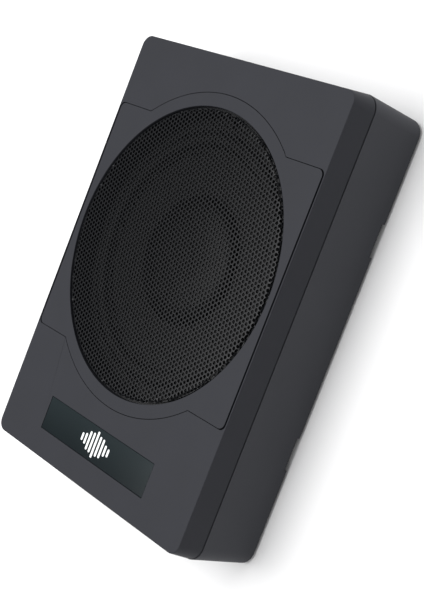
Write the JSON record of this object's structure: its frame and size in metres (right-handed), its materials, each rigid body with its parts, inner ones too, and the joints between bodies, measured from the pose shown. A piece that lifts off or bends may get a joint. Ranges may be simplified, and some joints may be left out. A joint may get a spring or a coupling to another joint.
{
  "type": "powered car subwoofer",
  "caption": "Slim powered under-seat subwoofer: painted cover with round perforated grille over a die-cast shell, with amplifier, driver and rear controls.",
  "frame": {"origin": "on the resting surface under the middle of the housing", "axes": "+Z out of the grille, +Y along the length away from the badge and control end, +X to the right"},
  "size_m": [0.2512, 0.3506, 0.076],
  "materials": {
    "cover_paint": "satin soft-feel paint, fine grain",
    "casting_paint": "fine textured powder coat",
    "rubber": "matt",
    "mesh_steel": "satin black coat",
    "badge_acrylic": "smoked, polished",
    "black_steel": "black oxide",
    "basket_paint": "satin",
    "surround_rubber": "matt",
    "spider_cloth": "resin-dipped weave",
    "zinc_steel": "zinc plated",
    "ferrite": "ground",
    "black_plastic": "fine spark texture",
    "red_wire": "smooth",
    "black_wire": "smooth",
    "board_laminate": "solder mask",
    "copper": "enamelled",
    "capacitor_sleeve": "smooth",
    "aluminium_bar": "extruded",
    "gold_plate": "plated",
    "led_lens": "clear",
    "cone_paper": "pressed fibre",
    "cap_plastic": "satin",
    "former_foil": "rolled",
    "fuse_plastic": "clear tinted"
  },
  "bodies": {
    "enclosure": {"front_cover": "cover_paint", "grille_bezel": "cover_paint", "rear_shell": "casting_paint", "seam_gasket": "rubber", "foot_front_left": "rubber", "foot_front_right": "rubber", "foot_rear_left": "rubber", "foot_rear_right": "rubber", "grille_mesh": "mesh_steel", "badge_plate": "badge_acrylic", "housing_screw_1": "black_steel", "housing_screw_2": "black_steel", "housing_screw_3": "black_steel", "housing_screw_4": "black_steel", "housing_screw_5": "black_steel", "housing_screw_6": "black_steel", "driver_screw_1": "black_steel", "driver_screw_2": "black_steel", "driver_screw_3": "black_steel", "driver_screw_4": "black_steel", "driver_screw_5": "black_steel", "driver_screw_6": "black_steel", "driver_basket": "basket_paint", "surround": "surround_rubber", "driver_trim_ring": "surround_rubber", "spider": "spider_cloth", "top_plate": "zinc_steel", "pole_yoke": "zinc_steel", "ferrite_magnet": "ferrite", "terminal_strip": "black_plastic", "speaker_lead_positive": "red_wire", "speaker_lead_negative": "black_wire", "amp_board": "board_laminate", "toroid_inductor": "copper", "power_transformer": "ferrite", "capacitor_1": "capacitor_sleeve", "capacitor_2": "capacitor_sleeve", "heat_spreader": "aluminium_bar", "transistor_1": "black_plastic", "transistor_2": "black_plastic", "control_panel": "black_plastic", "phase_switch_body": "zinc_steel", "rca_jack_left": "gold_plate", "rca_jack_right": "gold_plate", "high_level_socket": "black_plastic", "remote_jack": "black_plastic", "power_connector": "black_plastic", "fuse_holder": "black_plastic", "power_led": "led_lens"},
    "diaphragm": {"cone": "cone_paper", "dust_cap": "cap_plastic", "voice_coil_former": "former_foil", "voice_coil": "copper"},
    "gain_adjuster": {"gain_knob": "black_plastic"},
    "crossover_adjuster": {"crossover_knob": "black_plastic"},
    "bass_boost_adjuster": {"bass_boost_knob": "black_plastic"},
    "phase_slider": {"phase_switch": "black_plastic"},
    "blade_fuse": {"fuse": "fuse_plastic"}
  },
  "joints": [
    {"name": "cone_slide", "type": "slide", "parent": "enclosure", "child": "diaphragm", "axis": [0, 0, 1], "range_m": [-0.005, 0.005], "stiffness_N_per_m": 4000, "deforming": ["surround", "spider"]},
    {"name": "gain_turn", "type": "hinge", "parent": "enclosure", "child": "gain_adjuster", "pos_m": [0.058, -0.165, 0.027], "axis": [0, -1, 0], "range_deg": [-140, 140]},
    {"name": "crossover_turn", "type": "hinge", "parent": "enclosure", "child": "crossover_adjuster", "pos_m": [0.071, -0.165, 0.027], "axis": [0, -1, 0], "range_deg": [-140, 140]},
    {"name": "bass_boost_turn", "type": "hinge", "parent": "enclosure", "child": "bass_boost_adjuster", "pos_m": [0.084, -0.165, 0.027], "axis": [0, -1, 0], "range_deg": [-140, 140]},
    {"name": "phase_slide", "type": "slide", "parent": "enclosure", "child": "phase_slider", "axis": [1, 0, 0], "range_m": [0, 0.0025]},
    {"name": "fuse_pull", "type": "slide", "parent": "enclosure", "child": "blade_fuse", "axis": [0, -1, 0], "range_m": [0, 0.02]}
  ]
}
